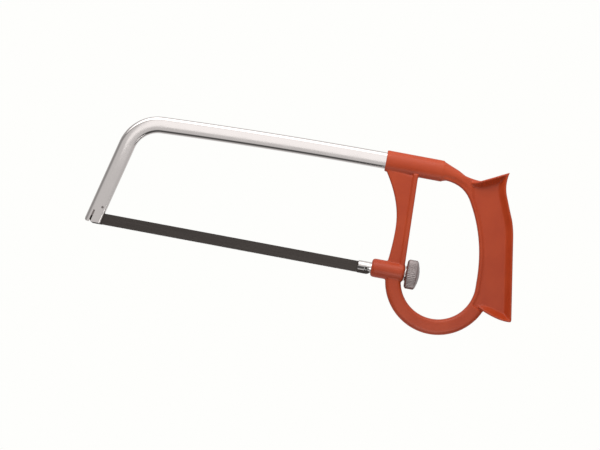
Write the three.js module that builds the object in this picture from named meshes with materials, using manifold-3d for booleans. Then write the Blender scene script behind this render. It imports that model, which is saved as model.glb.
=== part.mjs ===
// Tubular hacksaw with a cast D handle. Millimetres, +Z up.
//
// Drafting frame: X runs from the front blade pin back to the handle, Z from the blade up to the bow,
// and Y is the thickness, with the saw symmetric about Y = 0. The blade's hole centres lie on Z = 0.
// The whole saw is then moved so that the origin is the middle of the flat palm face.
import * as THREE from "three";
import { mergeVertices } from "three/addons/utils/BufferGeometryUtils.js";
import Module from "manifold-3d";

const wasm = await Module();
wasm.setup();

// ---- driving dimensions ------------------------------------------------------------------------
const CLEARANCE = 0.3; // every running or pressed fit keeps this gap on each side
const SMALLEST_EDGE = 0.02;

const BLADE_LENGTH = 300; // hole centre to hole centre, a 12 inch blade
const BLADE_WIDTH = 12.5;
const BLADE_THICKNESS = 0.65;
const PIN_DIAMETER = 3.4;

const BOW_HEIGHT = 119; // blade centre line to the tube's axis at the sleeve
const BOW_CAMBER_RADIUS = 5700; // the bow rises gently towards the sleeve
const STRAIGHT_END = 20; // the last stretch of the tube, inside the sleeve, is straight
const BEND_RADIUS = 36.5; // tube axis, at the front corner
const LEG_LEAN = THREE.MathUtils.degToRad(13.8); // foot of the front leg is ahead of its top
const LEG_AXIS_AHEAD = 1; // the leg's axis crosses the blade line this far ahead of the pin
const FOOT_DROP = 5; // the leg ends this far below the blade's centre line
const FOOT_CORNER = 5.1; // rounding of the leg's lower front corner

const TUBE_WIDTH = 18; // flat-oval tube, in the saw's plane
const TUBE_THICKNESS = 10; // across the saw's plane
const TUBE_WALL = 1.3;
const TUBE_INSERTION = 50; // how far the tube runs into the sleeve

const SLEEVE_LENGTH = 63;
const SLEEVE_WALL = 2.35;
const LOCK_PIN_DIAMETER = 4; // holds the tube in the sleeve, from below
const LOCK_PIN_LENGTH = 6.6;

const PLUG_LENGTH = 24; // front anchor, up the leg from the blade's centre line
const PLUG_RECESS = 1.5; // the plug stops short of the tube's end
const RIVET_DIAMETER = 2.4;
const SIDE_SLIT_WIDTH = 2;
const SIDE_SLIT_AHEAD = 3; // slit to leg axis
const SIDE_SLIT_TOP = 7.4; // above the blade's centre line

const DRAWBAR_AXIS = 2.1; // the tensioning axis is just above the blade's centre line
const ROD_DIAMETER = 10.6;
const ROD_NOSE = 9.5; // rod ahead of the rear pin
const SQUARE_GUIDE = 8; // square part of the drawbar, which stops it turning
const THREAD_DIAMETER = 8;
const TRAVEL = 5; // how far the drawbar slides forward to let the blade go

const BOSS_DIAMETER = 20.3;
const BOSS_GAP = 5.2; // rear pin to boss front
const BOSS_LENGTH = 36.8;
const BOSS_CHAMFER = 1.6;
const WASHER_DIAMETER = 17;
const WASHER_THICKNESS = 1;
const KNOB_DIAMETER = 32;
const KNOB_LENGTH = 12;
const KNOB_DOME = 2.7;
const KNOB_CHAMFER = 1.5;

const RING_RADIUS = 41; // inside of the handle's round lower end
const RING_WIDTH = 17;
const WEB_THICKNESS = 9; // recessed panels of post and grip
const RIM_THICKNESS = 13; // rim round the hand opening, and the lower ring
const RIM_WIDTH = 5.5;
const NECK_THICKNESS = 14;
const PALM_WIDTH = 28; // palm flange, across the saw
const PALM_RIM = 3.6; // depth of the full-width part of the flange
const PALM_FLARE = 7.5; // depth over which the flange flares out
const FLARE_WIDTH = 20; // width of the flare's inner step

// ---- places worked out from them ---------------------------------------------------------------
const REAR = BLADE_LENGTH; // X of the rear blade pin
const TOP = BOW_HEIGHT; // Z of the tube's axis at the sleeve
const BOSS_FRONT = REAR + BOSS_GAP;
const BOSS_REAR = BOSS_FRONT + BOSS_LENGTH;
const KNOB_FRONT = BOSS_REAR + WASHER_THICKNESS + 2 * CLEARANCE;
const BLADE_SLOT = BLADE_THICKNESS + 2 * CLEARANCE;
const BLADE_SLOT_TOP = BLADE_WIDTH / 2 + 0.9;
const RING_X = REAR + RING_RADIUS + 39;
const PALM_LOW = new THREE.Vector2(REAR + 165.6, -24.8);
const PALM_HIGH = new THREE.Vector2(REAR + 150.2, TOP - 53.7);
const PALM_ORIGIN = PALM_LOW.clone().lerp(PALM_HIGH, 0.5);

// ---- helpers -----------------------------------------------------------------------------------
// A closed three.js geometry as a manifold solid.
function toSolid(geometry) {
  const bare = geometry.clone();
  bare.deleteAttribute("normal");
  bare.deleteAttribute("uv");
  const merged = mergeVertices(bare, 1e-4);
  const corners = merged.index.array;
  const triangles = [];
  for (let i = 0; i < corners.length; i += 3) {
    const [a, b, c] = corners.slice(i, i + 3);
    if (a !== b && b !== c && c !== a) {
      triangles.push(a, b, c);
    }
  }
  const mesh = new wasm.Mesh({
    numProp: 3,
    vertProperties: new Float32Array(merged.attributes.position.array),
    triVerts: new Uint32Array(triangles),
  });
  return new wasm.Manifold(mesh);
}

// A manifold solid as a three.js geometry, without slivers finer than SMALLEST_EDGE.
function toGeometry(solid) {
  const mesh = solid.simplify(SMALLEST_EDGE).getMesh();
  const geometry = new THREE.BufferGeometry();
  geometry.setAttribute("position", new THREE.BufferAttribute(new Float32Array(mesh.vertProperties), 3));
  geometry.setIndex(new THREE.BufferAttribute(new Uint32Array(mesh.triVerts), 1));
  geometry.computeVertexNormals();
  return geometry;
}

const join = (first, ...others) => others.reduce((sum, next) => sum.add(next), first);
const cut = (body, ...tools) => tools.reduce((rest, tool) => rest.subtract(tool), body);

// A plate drawn in the saw's plane (shape x, y are world X, Z), centred on Y = 0.
function plate(shape, thickness, bevel = 0, curveSegments = 6) {
  const geometry = new THREE.ExtrudeGeometry(shape, {
    depth: thickness - 2 * bevel,
    bevelEnabled: bevel > 0,
    bevelThickness: bevel,
    bevelSize: bevel,
    bevelOffset: -bevel,
    bevelSegments: 2,
    curveSegments,
  });
  geometry.translate(0, 0, -(thickness - 2 * bevel) / 2);
  geometry.rotateX(Math.PI / 2);
  return toSolid(geometry);
}

// A box from its lowest to its highest corner.
function block(low, high) {
  const size = high.map((value, i) => value - low[i]);
  const geometry = new THREE.BoxGeometry(...size);
  geometry.translate(...low.map((value, i) => value + size[i] / 2));
  return toSolid(geometry);
}

// A round bar along X on the drawbar's axis.
function barAlongX(diameter, from, to, segments = 32) {
  const geometry = new THREE.CylinderGeometry(diameter / 2, diameter / 2, to - from, segments);
  geometry.rotateZ(-Math.PI / 2);
  geometry.translate((from + to) / 2, 0, DRAWBAR_AXIS);
  return toSolid(geometry);
}

// A round bar along Y through the point (x, z) of the saw's plane.
function barAlongY(diameter, length, x, z, segments = 20) {
  const geometry = new THREE.CylinderGeometry(diameter / 2, diameter / 2, length, segments);
  geometry.translate(x, 0, z);
  return toSolid(geometry);
}

// A flat-oval outline, `thickness` along x and `width` along y.
function ovalOutline(width, thickness) {
  const radius = thickness / 2;
  const reach = width / 2 - radius;
  const shape = new THREE.Shape();
  shape.absarc(0, reach, radius, 0, Math.PI, false);
  shape.absarc(0, -reach, radius, Math.PI, 2 * Math.PI, false);
  shape.closePath();
  return shape;
}

// Everything within `reach` of a line of points, as a plate, square at its two ends.
function beside(points, reach, thickness) {
  const joint = 1.96 * reach; // just under the bars' width, so that no faces graze each other
  const bends = points.slice(1, -1);
  const pieces = bends.map((point) => barAlongY(joint, thickness, point.x, point.y, 10));
  for (let i = 1; i < points.length; i += 1) {
    const along = points[i].clone().sub(points[i - 1]);
    const geometry = new THREE.BoxGeometry(along.length(), thickness, 2 * reach);
    geometry.rotateY(-along.angle());
    const middle = points[i].clone().add(points[i - 1]).multiplyScalar(0.5);
    geometry.translate(middle.x, 0, middle.y);
    pieces.push(toSolid(geometry));
  }
  return join(...pieces);
}

// The curve's points without repeats.
function distinctPoints(path, divisions) {
  const points = path.getPoints(divisions);
  return points.filter((point, i) => point.distanceTo(points[(i + 1) % points.length]) > 0.05);
}

// ---- the tube ----------------------------------------------------------------------------------
// The tube's axis, from below the foot, round the front bend and along the cambered bow.
class TubeAxis extends THREE.Curve {
  constructor() {
    super();
    const tubeEnd = new THREE.Vector2(REAR + TUBE_INSERTION, TOP);
    const legUp = new THREE.Vector2(Math.sin(LEG_LEAN), Math.cos(LEG_LEAN));
    const legRear = new THREE.Vector2(Math.cos(LEG_LEAN), -Math.sin(LEG_LEAN));
    // The bend's centre is BEND_RADIUS behind the leg's axis and BEND_RADIUS below the bow's axis.
    const camberCentre = new THREE.Vector2(tubeEnd.x - STRAIGHT_END, TOP - BOW_CAMBER_RADIUS);
    const legFoot = new THREE.Vector2(-LEG_AXIS_AHEAD, 0);
    const base = legFoot.clone().addScaledVector(legRear, BEND_RADIUS);
    const toCentre = base.clone().sub(camberCentre);
    const reach = BOW_CAMBER_RADIUS - BEND_RADIUS;
    const along = toCentre.dot(legUp);
    const climb = -along + Math.sqrt(along * along - toCentre.lengthSq() + reach * reach);
    this.bendCentre = base.clone().addScaledVector(legUp, climb);
    this.legUp = legUp;
    const legTop = legFoot.clone().addScaledVector(legUp, climb);
    const bendEnd = this.bendCentre.clone().sub(camberCentre).angle();
    this.stations = [];
    this.addLine(legFoot.clone().addScaledVector(legUp, -2 * FOOT_DROP - TUBE_WALL), legTop, 3);
    this.addArc(this.bendCentre, BEND_RADIUS, Math.PI - LEG_LEAN, bendEnd, 14);
    this.addArc(camberCentre, BOW_CAMBER_RADIUS, bendEnd, Math.PI / 2, 8);
    this.addLine(new THREE.Vector2(camberCentre.x, TOP), tubeEnd, 1);
  }

  addLine(from, to, steps) {
    const along = to.clone().sub(from).normalize();
    for (let i = this.stations.length ? 1 : 0; i <= steps; i += 1) {
      this.stations.push({ at: from.clone().lerp(to, i / steps), along });
    }
  }

  addArc(centre, radius, from, to, steps) {
    for (let i = 1; i <= steps; i += 1) {
      const angle = THREE.MathUtils.lerp(from, to, i / steps);
      const out = new THREE.Vector2(Math.cos(angle), Math.sin(angle));
      const along = new THREE.Vector2(out.y, -out.x);
      this.stations.push({ at: centre.clone().addScaledVector(out, radius), along });
    }
  }

  station(t) {
    return this.stations[Math.round(t * (this.stations.length - 1))];
  }

  getPointAt(t) {
    const { at } = this.station(t);
    return new THREE.Vector3(at.x, 0, at.y);
  }

  getTangentAt(t) {
    const { along } = this.station(t);
    return new THREE.Vector3(along.x, 0, along.y);
  }
}

const tubeAxis = new TubeAxis();

// A flat-oval bar along the whole of the tube's axis.
function sweepTube(width, thickness) {
  const geometry = new THREE.ExtrudeGeometry(ovalOutline(width, thickness), {
    steps: tubeAxis.stations.length - 1,
    extrudePath: tubeAxis,
    curveSegments: 4,
  });
  return toSolid(geometry);
}

// The side view of everything above the leg's trimmed end, whose front corner is rounded.
function aboveFoot(drop) {
  const halfAcross = (TUBE_WIDTH / 2) / Math.cos(LEG_LEAN);
  const corner = new THREE.Vector2(-LEG_AXIS_AHEAD - halfAcross - drop * Math.tan(LEG_LEAN), -drop);
  const up = corner.clone().addScaledVector(tubeAxis.legUp, FOOT_CORNER);
  const far = REAR + SLEEVE_LENGTH;
  const shape = new THREE.Shape();
  shape.moveTo(far, -drop);
  shape.lineTo(far, TOP + TUBE_WIDTH);
  shape.lineTo(corner.x - TUBE_WIDTH, TOP + TUBE_WIDTH);
  shape.lineTo(corner.x - TUBE_WIDTH, up.y);
  shape.lineTo(up.x, up.y);
  shape.quadraticCurveTo(corner.x, corner.y, corner.x + FOOT_CORNER, corner.y);
  shape.closePath();
  return shape;
}

// A bar square to the leg's axis: `ahead` of it and `up` from the blade line, along Y.
function besideLeg(ahead, up) {
  const x = -LEG_AXIS_AHEAD + up * Math.sin(LEG_LEAN) - ahead * Math.cos(LEG_LEAN);
  const z = up * Math.cos(LEG_LEAN) + ahead * Math.sin(LEG_LEAN);
  return [x, z];
}

const RIVET_AT = besideLeg(-(TUBE_WIDTH - TUBE_THICKNESS) / 2, 14);
const LOCK_PIN_X = REAR + TUBE_INSERTION - 6;

const bladeSlotInFoot = () =>
  block([-TUBE_WIDTH * 2, -BLADE_SLOT / 2, -TUBE_WIDTH], [TUBE_WIDTH, BLADE_SLOT / 2, BLADE_SLOT_TOP]);

// An upright bar through the sleeve's underside, `from` and `to` being heights above it.
function lockPin(diameter, from, to) {
  const geometry = new THREE.CylinderGeometry(diameter / 2, diameter / 2, to - from, 20);
  const underside = TOP - TUBE_WIDTH / 2 - CLEARANCE - SLEEVE_WALL;
  geometry.rotateX(Math.PI / 2);
  geometry.translate(LOCK_PIN_X, 0, underside + (from + to) / 2);
  return toSolid(geometry);
}

const lockPinHole = () => lockPin(LOCK_PIN_DIAMETER + 2 * CLEARANCE, -2, LOCK_PIN_LENGTH + 2);

function makeFrameTube() {
  const outside = sweepTube(TUBE_WIDTH, TUBE_THICKNESS);
  const inside = sweepTube(TUBE_WIDTH - 2 * TUBE_WALL, TUBE_THICKNESS - 2 * TUBE_WALL);
  const trimmed = outside.intersect(plate(aboveFoot(FOOT_DROP), TUBE_THICKNESS * 2));
  const slit = new THREE.BoxGeometry(SIDE_SLIT_WIDTH, TUBE_THICKNESS * 2, SIDE_SLIT_TOP + 20);
  slit.translate(0, 0, -(SIDE_SLIT_TOP + 20) / 2);
  slit.rotateY(LEG_LEAN);
  const [slitX, slitZ] = besideLeg(SIDE_SLIT_AHEAD, SIDE_SLIT_TOP);
  slit.translate(slitX, 0, slitZ);
  const rivetHole = barAlongY(RIVET_DIAMETER + 2 * CLEARANCE, TUBE_THICKNESS * 2, ...RIVET_AT);
  return cut(trimmed, inside, bladeSlotInFoot(), toSolid(slit), rivetHole, lockPinHole());
}

// ---- the front anchor --------------------------------------------------------------------------
function makeFrontPlug() {
  const fit = 2 * (TUBE_WALL + CLEARANCE);
  const filling = sweepTube(TUBE_WIDTH - fit, TUBE_THICKNESS - fit);
  const bottom = -FOOT_DROP + PLUG_RECESS;
  const stretch = block(
    [-TUBE_WIDTH * 2, -TUBE_THICKNESS, bottom],
    [TUBE_WIDTH * 2, TUBE_THICKNESS, PLUG_LENGTH],
  );
  // The front pin pulls against the block behind it, and is free to move forward and down.
  const reach = PIN_DIAMETER / 2 + CLEARANCE;
  const pinPocket = block(
    [-TUBE_WIDTH * 2, -TUBE_THICKNESS, -TUBE_WIDTH],
    [reach, TUBE_THICKNESS, reach],
  );
  const rivetHole = barAlongY(RIVET_DIAMETER + 2 * CLEARANCE, TUBE_THICKNESS * 2, ...RIVET_AT);
  return cut(filling.intersect(stretch), bladeSlotInFoot(), pinPocket, rivetHole);
}

const makePlugRivet = () => barAlongY(RIVET_DIAMETER, TUBE_THICKNESS, ...RIVET_AT);

const makeFrontPin = () =>
  barAlongY(PIN_DIAMETER, TUBE_THICKNESS - 2 * (TUBE_WALL + CLEARANCE), 0, 0);

// ---- the blade ---------------------------------------------------------------------------------
function makeBlade() {
  const radius = BLADE_WIDTH / 2;
  const shape = new THREE.Shape();
  shape.absarc(REAR, 0, radius, -Math.PI / 2, Math.PI / 2, false);
  shape.absarc(0, 0, radius, Math.PI / 2, (3 * Math.PI) / 2, false);
  shape.closePath();
  for (const x of [0, REAR]) {
    const hole = new THREE.Path();
    hole.absarc(x, 0, PIN_DIAMETER / 2 + CLEARANCE, 0, 2 * Math.PI, true);
    shape.holes.push(hole);
  }
  return plate(shape, BLADE_THICKNESS);
}

// ---- the tensioner -----------------------------------------------------------------------------
const SOCKET_DEPTH = ROD_DIAMETER * 2; // the rod's socket in the boss
const ROD_END = BOSS_FRONT + SOCKET_DEPTH - TRAVEL - 1;
const GUIDE_END = BOSS_REAR - TRAVEL;
const THREAD_END = KNOB_FRONT + KNOB_LENGTH - 1;

function makeDrawbar() {
  const rod = barAlongX(ROD_DIAMETER, REAR - ROD_NOSE, ROD_END);
  const half = SQUARE_GUIDE / 2;
  const guide = block(
    [ROD_END - 1, -half, DRAWBAR_AXIS - half],
    [GUIDE_END, half, DRAWBAR_AXIS + half],
  );
  const thread = barAlongX(THREAD_DIAMETER, GUIDE_END - 1, THREAD_END);
  const bladeSlot = block(
    [REAR - ROD_NOSE - 5, -BLADE_SLOT / 2, -ROD_DIAMETER],
    [REAR + BLADE_WIDTH / 2 + 4 * CLEARANCE, BLADE_SLOT / 2, BLADE_WIDTH / 2 + CLEARANCE],
  );
  const reach = PIN_DIAMETER / 2 + CLEARANCE;
  const pinNotch = block(
    [REAR - reach, -ROD_DIAMETER, -ROD_DIAMETER],
    [REAR + reach, ROD_DIAMETER, reach],
  );
  return cut(join(rod, guide, thread), bladeSlot, pinNotch);
}

const makeRearPin = () => barAlongY(PIN_DIAMETER, ROD_DIAMETER - 1.2, REAR, 0);

function makeThrustWasher() {
  const from = BOSS_REAR + CLEARANCE;
  const disc = barAlongX(WASHER_DIAMETER, from, from + WASHER_THICKNESS);
  return cut(disc, barAlongX(THREAD_DIAMETER + 2 * CLEARANCE, from - 1, from + WASHER_THICKNESS + 1));
}

function makeTensionKnob() {
  const rim = KNOB_DIAMETER / 2;
  const profile = new THREE.Path();
  profile.moveTo(0, 0);
  profile.lineTo(rim - KNOB_CHAMFER, 0);
  profile.lineTo(rim, KNOB_CHAMFER);
  profile.lineTo(rim, KNOB_LENGTH - KNOB_CHAMFER);
  profile.lineTo(rim - KNOB_CHAMFER, KNOB_LENGTH);
  profile.quadraticCurveTo(rim / 2, KNOB_LENGTH + KNOB_DOME, 0, KNOB_LENGTH + KNOB_DOME);
  const geometry = new THREE.LatheGeometry(profile.getPoints(5), 48);
  geometry.rotateZ(-Math.PI / 2);
  geometry.translate(KNOB_FRONT, 0, DRAWBAR_AXIS);
  const bore = barAlongX(THREAD_DIAMETER + 2 * CLEARANCE, KNOB_FRONT - 1, THREAD_END + CLEARANCE);
  return cut(toSolid(geometry), bore);
}

// ---- the handle --------------------------------------------------------------------------------
// The hand opening, from the sleeve's underside down the post, round the ring and up the grip.
function handOpening() {
  const path = new THREE.Path();
  path.moveTo(REAR + 37.3, TOP - 11.5);
  path.lineTo(RING_X - RING_RADIUS + 1.8, 12);
  path.absarc(RING_X, 0, RING_RADIUS, THREE.MathUtils.degToRad(163), 2 * Math.PI, false);
  path.lineTo(RING_X + RING_RADIUS - 1, 7);
  path.quadraticCurveTo(REAR + 120.5, TOP - 66.3, REAR + 99.7, TOP - 29.9);
  path.bezierCurveTo(REAR + 93, TOP - 18, REAR + 85, TOP - 10.4, REAR + 66, TOP - 10.4);
  path.closePath();
  return path;
}

// The flared edge of the grip, from the neck over the upper horn, down the palm face to the lower horn.
function palmEdge() {
  const path = new THREE.Path();
  path.moveTo(REAR + 105, TOP - 3.1);
  path.quadraticCurveTo(REAR + 120, TOP + 4.5, REAR + 133.6, TOP + 11.2);
  path.lineTo(REAR + 135.3, TOP + 10);
  path.quadraticCurveTo(REAR + 133.6, TOP - 2, REAR + 137.7, TOP - 16.2);
  path.quadraticCurveTo(REAR + 146, TOP - 33, PALM_HIGH.x, PALM_HIGH.y);
  path.lineTo(PALM_LOW.x, PALM_LOW.y);
  path.lineTo(REAR + 164, -29);
  path.lineTo(REAR + 153, -29.8);
  path.lineTo(REAR + 133.5, -22.6);
  return path.getPoints(4);
}

// The outside of the whole D, less sleeve and boss, which are joined on.
function handleOutline() {
  const ringEnd = Math.atan2(-22.6, REAR + 133.5 - RING_X);
  const shape = new THREE.Shape();
  shape.moveTo(REAR + 0.8, TOP - 8.5);
  shape.bezierCurveTo(REAR + 13, TOP - 27, REAR + 23.8, TOP - 47, REAR + 23.6, 45);
  shape.quadraticCurveTo(REAR + 23.5, 25, REAR + 21.2, 12);
  shape.lineTo(RING_X - RING_RADIUS - RING_WIDTH, 0);
  shape.absarc(RING_X, 0, RING_RADIUS + RING_WIDTH, Math.PI, 2 * Math.PI + ringEnd, false);
  for (const point of palmEdge().reverse()) {
    shape.lineTo(point.x, point.y);
  }
  shape.bezierCurveTo(REAR + 90, TOP - 2, REAR + 80, TOP + 3, REAR + 62.6, TOP + 11);
  shape.closePath();
  return shape;
}

// Ring and neck, which are as thick as the rim over their whole width.
function lowerRing() {
  const shape = new THREE.Shape();
  const end = 2 * Math.PI - THREE.MathUtils.degToRad(22.9);
  shape.absarc(RING_X, 0, RING_RADIUS + RING_WIDTH, Math.PI - 0.1, end, false);
  shape.absarc(RING_X, 0, RING_RADIUS, end, Math.PI - 0.1, true);
  shape.closePath();
  return shape;
}

function neck() {
  const shape = new THREE.Shape();
  shape.moveTo(REAR + SLEEVE_LENGTH - 8, TOP + 11.2);
  shape.lineTo(REAR + SLEEVE_LENGTH, TOP + 11.2);
  shape.bezierCurveTo(REAR + 80, TOP + 3, REAR + 90, TOP - 2, REAR + 104, TOP - 3.1);
  shape.lineTo(REAR + 98, TOP - 13);
  shape.lineTo(REAR + 90, TOP - 16);
  shape.quadraticCurveTo(REAR + 80, TOP - 10.4, REAR + 66, TOP - 10.4);
  shape.lineTo(REAR + SLEEVE_LENGTH - 8, TOP - 11.2);
  shape.closePath();
  return shape;
}

function sleeve(width, thickness, from, to) {
  const geometry = new THREE.ExtrudeGeometry(ovalOutline(width, thickness), {
    depth: to - from,
    bevelEnabled: false,
    curveSegments: 8,
  });
  // Turned so that the outline's long side is along Z and the extrusion along X.
  geometry.applyMatrix4(new THREE.Matrix4().makeBasis(
    new THREE.Vector3(0, 1, 0), new THREE.Vector3(0, 0, 1), new THREE.Vector3(1, 0, 0),
  ));
  geometry.translate(from, 0, TOP);
  return toSolid(geometry);
}

function makeHandle() {
  const openingEdge = distinctPoints(handOpening(), 7);
  const outline = new THREE.Shape(distinctPoints(handleOutline(), 7));
  outline.holes.push(new THREE.Path(openingEdge));
  const web = plate(outline, WEB_THICKNESS);
  const within = plate(outline, PALM_WIDTH + 2);

  const fullLoop = [...openingEdge, ...openingEdge.slice(0, 2)];
  const rim = beside(fullLoop, RIM_WIDTH, RIM_THICKNESS).intersect(within);
  const ring = plate(lowerRing(), RIM_THICKNESS, 0, 16);
  const neckBar = plate(neck(), NECK_THICKNESS, 1.5);

  const edge = palmEdge();
  const flare = beside(edge, PALM_FLARE, FLARE_WIDTH).intersect(within);
  const palm = beside(edge, PALM_RIM, PALM_WIDTH).intersect(within);

  const sleeveWidth = TUBE_WIDTH + 2 * (CLEARANCE + SLEEVE_WALL);
  const sleeveThickness = TUBE_THICKNESS + 2 * (CLEARANCE + SLEEVE_WALL);
  const outerSleeve = sleeve(sleeveWidth, sleeveThickness, REAR, REAR + SLEEVE_LENGTH);
  const tubeBore = sleeve(
    TUBE_WIDTH + 2 * CLEARANCE,
    TUBE_THICKNESS + 2 * CLEARANCE,
    REAR - 1,
    REAR + TUBE_INSERTION + CLEARANCE,
  );

  const bossBody = barAlongX(BOSS_DIAMETER, BOSS_FRONT + BOSS_CHAMFER, BOSS_REAR, 40);
  const bossNose = barAlongX(BOSS_DIAMETER - 2 * BOSS_CHAMFER, BOSS_FRONT, BOSS_REAR, 40);
  const rodSocket = barAlongX(ROD_DIAMETER + 2 * CLEARANCE, BOSS_FRONT - 1, BOSS_FRONT + SOCKET_DEPTH);
  const half = SQUARE_GUIDE / 2 + CLEARANCE;
  const guideHole = block(
    [BOSS_FRONT, -half, DRAWBAR_AXIS - half],
    [BOSS_REAR + 1, half, DRAWBAR_AXIS + half],
  );
  const knobRoom = barAlongX(KNOB_DIAMETER + 4, BOSS_REAR, KNOB_FRONT + KNOB_LENGTH + KNOB_DOME + 2, 40);
  // The blade's round rear end turns in a slot across the boss's nose.
  const bladeEndSlot = barAlongY(BLADE_WIDTH + 2 * CLEARANCE, BLADE_SLOT, REAR, 0, 40);

  const casting = join(web, rim, ring, neckBar, flare, palm, outerSleeve, bossBody, bossNose);
  return cut(casting, tubeBore, rodSocket, guideHole, knobRoom, lockPinHole(), bladeEndSlot);
}

const makeLockPin = () => lockPin(LOCK_PIN_DIAMETER, CLEARANCE, LOCK_PIN_LENGTH);

// ---- the saw -----------------------------------------------------------------------------------
const enamel = { color: 0xb24a33, roughness: 0.42, metalness: 0 };
const nickel = { color: 0xd9d8d6, roughness: 0.15, metalness: 1 };
const steel = { color: 0x9a9694, roughness: 0.35, metalness: 1 };
const blackSteel = { color: 0x3a3632, roughness: 0.5, metalness: 0.8 };

const saw = new THREE.Group();
saw.position.set(-PALM_ORIGIN.x, 0, -PALM_ORIGIN.y);

for (const [name, solid, finish] of [
  ["handle", makeHandle(), enamel],
  ["frame_tube", makeFrameTube(), nickel],
  ["front_anchor_plug", makeFrontPlug(), steel],
  ["plug_rivet", makePlugRivet(), steel],
  ["tube_lock_pin", makeLockPin(), steel],
  ["blade", makeBlade(), blackSteel],
  ["front_blade_pin", makeFrontPin(), steel],
  ["rear_blade_pin", makeRearPin(), blackSteel],
  ["drawbar", makeDrawbar(), nickel],
  ["thrust_washer", makeThrustWasher(), nickel],
  ["tension_knob", makeTensionKnob(), steel],
]) {
  const mesh = new THREE.Mesh(toGeometry(solid), new THREE.MeshStandardMaterial(finish));
  mesh.name = name;
  saw.add(mesh);
}

const part = new THREE.Group();
part.add(saw);
export default part;
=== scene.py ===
"""Looks for a tubular hacksaw with a cast D handle: enamelled casting, plated flat-oval tube,
blackened blade, turned drawbar and knurled tension knob.

Shapes are drawn in the drafting frame, in millimetres: X runs back from the front blade pin along
the blade, Z up towards the bow, Y across the saw. place() moves a finished shape into the frame.
"""

import math

import bmesh
import bpy
from mathutils import Matrix, Vector


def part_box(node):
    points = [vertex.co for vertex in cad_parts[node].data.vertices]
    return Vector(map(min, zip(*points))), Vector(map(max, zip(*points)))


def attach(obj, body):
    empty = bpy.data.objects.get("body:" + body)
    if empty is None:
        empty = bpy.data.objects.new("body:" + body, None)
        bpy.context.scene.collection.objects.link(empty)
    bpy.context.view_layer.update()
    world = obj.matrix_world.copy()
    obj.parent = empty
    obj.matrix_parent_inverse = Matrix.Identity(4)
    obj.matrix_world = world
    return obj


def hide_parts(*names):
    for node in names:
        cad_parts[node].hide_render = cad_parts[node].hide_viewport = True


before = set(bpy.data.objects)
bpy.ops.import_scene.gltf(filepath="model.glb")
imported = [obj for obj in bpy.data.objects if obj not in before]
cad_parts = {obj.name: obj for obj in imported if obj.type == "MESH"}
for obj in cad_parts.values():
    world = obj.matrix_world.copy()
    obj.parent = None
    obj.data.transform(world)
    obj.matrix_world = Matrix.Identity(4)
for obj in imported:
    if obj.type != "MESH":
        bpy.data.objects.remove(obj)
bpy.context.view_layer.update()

# ---- sizes, mm ---------------------------------------------------------------------------------
MM = 0.001


def middle(node):
    low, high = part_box(node)
    return (low + high) / 2


FRONT_PIN = middle("front_blade_pin")
REAR = (middle("rear_blade_pin").x - FRONT_PIN.x) / MM
KNOB_LOW, KNOB_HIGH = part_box("tension_knob")
DRAWBAR_Z = (middle("tension_knob").z - FRONT_PIN.z) / MM
KNOB_FRONT = (KNOB_LOW.x - FRONT_PIN.x) / MM
KNOB_REAR = (KNOB_HIGH.x - FRONT_PIN.x) / MM

TOP = 119.0  # tube axis at the sleeve, above the blade
TUBE_WIDTH, TUBE_THICKNESS, TUBE_WALL, TUBE_CORNER = 18.0, 10.0, 1.3, 4.0
TUBE_INSERTION = 50.0
CAMBER_RADIUS, STRAIGHT_END = 5700.0, 20.0
BEND_RADIUS = 36.5
LEG_LEAN = math.radians(13.8)
LEG_AHEAD = 1.0
FOOT_DROP, FOOT_CORNER = 5.0, 5.1
BLADE_WIDTH, BLADE_THICKNESS, BLADE_SLOT = 12.5, 0.65, 1.25
BLADE_SLOT_TOP = BLADE_WIDTH / 2 + 0.9  # of the slot in the foot, above the blade line
SIDE_SLIT, SIDE_SLIT_TOP = (2.0, 4.0), 8.0  # ahead of the leg's axis, and its top up the leg
RIVET_AT, RIVET_HOLE = (-4.0, 14), 2.7  # ahead of the leg's axis and up it
RIVET_DIAMETER, RIVET_REACH = 2.4, 4.9
PLUG_BOTTOM, PLUG_TOP = -3.5, 24
TOOTH_PITCH, TOOTH_DEPTH, TOOTH_SET = 25.4 / 24, 0.55, 0.16
PIN_DIAMETER, PIN_ROOM = 3.4, 2.0
ROD_DIAMETER, ROD_NOSE = 10.6, 9.5
SQUARE_GUIDE, SHANK_DIAMETER, SHANK_HOLE = 8.0, 7.9, 8.6
WASHER_DIAMETER, WASHER_THICKNESS, KNOB_ROOM = 17, 1, 36
BOSS_FRONT, BOSS_REAR, BOSS_DIAMETER = REAR + 5.2, REAR + 42.0, 20.3
RING_X, RING_RADIUS, RING_WIDTH = REAR + 80.0, 41.0, 17.0
WEB, RIM, POST_RIM, NECK = 9.0, 13.0, 5.5, 11.6
SLEEVE_LENGTH, SLEEVE_WALL, CLEARANCE = 63.0, 2.35, 0.3
PALM_WIDTH, FLANGE_REACH, FLANGE_TAPER, FLANGE_END = 28.0, 8.6, 18, 0.40
VOXEL, SMOOTHINGS, FACES_KEPT = 0.62, 9, 0.4  # how the casting's shapes are run together
TRIM = 0.12  # how far outside the palm edge the casting is trimmed
KNOB_DOME = 2.7
KNURLS, KNURL_POINTS = 50, 8  # ridges round the knob, and points round each

# ---- drawing helpers ---------------------------------------------------------------------------


def arc(x, z, radius, start, end, steps):
    """Points on a circle in the saw's plane, from one angle to another, in degrees."""
    turn = [math.radians(start + (end - start) * i / steps) for i in range(steps + 1)]
    return [(x + radius * math.cos(a), z + radius * math.sin(a)) for a in turn]


def curve(points, steps=10):
    """A Bezier curve of any order through its end points."""
    made = []
    for i in range(steps + 1):
        t, layer = i / steps, [Vector(p) for p in points]
        while len(layer) > 1:
            layer = [a.lerp(b, t) for a, b in zip(layer, layer[1:])]
        made.append(tuple(layer[0]))
    return made


def clean(points):
    """The points without repeats."""
    kept = [points[0]]
    for p in points[1:]:
        if math.dist(p, kept[-1]) > 0.05:
            kept.append(p)
    if math.dist(kept[0], kept[-1]) < 0.05:
        kept.pop()
    return kept


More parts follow.
